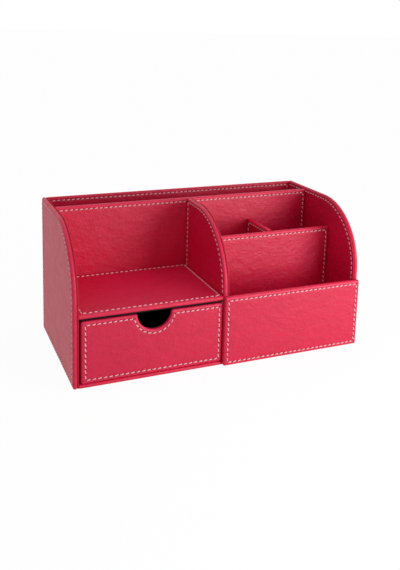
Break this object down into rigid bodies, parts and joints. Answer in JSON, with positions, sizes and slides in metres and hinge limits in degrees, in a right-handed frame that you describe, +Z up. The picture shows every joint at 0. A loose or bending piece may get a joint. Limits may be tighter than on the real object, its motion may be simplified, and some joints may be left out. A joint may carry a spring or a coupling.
{
  "type": "desk organizer with drawer",
  "caption": "Low wrapped-board desk organizer with an open shelf over a notched drawer, divided pen pockets and a full-width letter slot behind.",
  "frame": {"origin": "centre of the outline on the surface that the organizer stands on", "axes": "+X to the right seen from the front, -Y to the front where the drawer opens, +Z up"},
  "size_m": [0.2796, 0.1378, 0.136],
  "materials": {
    "leather": "fine-grained artificial leather, soft sheen",
    "lining": "fine-grained artificial leather",
    "board": "raw greyboard",
    "flock": "black flocked paper",
    "felt": "black felt"
  },
  "bodies": {
    "housing": {"back_panel_board": "board", "back_panel_lining": "lining", "back_panel_wrap": "leather", "base_board": "board", "base_felt": "felt", "base_wrap": "leather", "centre_panel_board": "board", "centre_panel_lining": "lining", "centre_panel_wrap": "leather", "front_panel_board": "board", "front_panel_lining": "lining", "front_panel_wrap": "leather", "left_side_board": "board", "left_side_lining": "lining", "left_side_wrap": "leather", "right_side_board": "board", "right_side_lining": "lining", "right_side_wrap": "leather", "shelf_board": "board", "shelf_lining": "lining", "shelf_wrap": "leather", "short_partition_board": "board", "short_partition_lining": "lining", "short_partition_wrap": "leather", "slot_wall_board": "board", "slot_wall_lining": "lining", "slot_wall_wrap": "leather", "tall_divider_board": "board", "tall_divider_lining": "lining", "tall_divider_wrap": "leather"},
    "drawer": {"drawer_back_wall": "board", "drawer_body_wrap": "leather", "drawer_floor": "board", "drawer_floor_lining": "flock", "drawer_front_board": "board", "drawer_front_lining": "flock", "drawer_front_wrap": "leather", "drawer_left_wall": "board", "drawer_right_wall": "board", "drawer_wall_lining": "flock"}
  },
  "joints": [
    {"name": "drawer_slide", "type": "slide", "parent": "housing", "child": "drawer", "axis": [0, -1, 0], "range_m": [0, 0.075]}
  ]
}
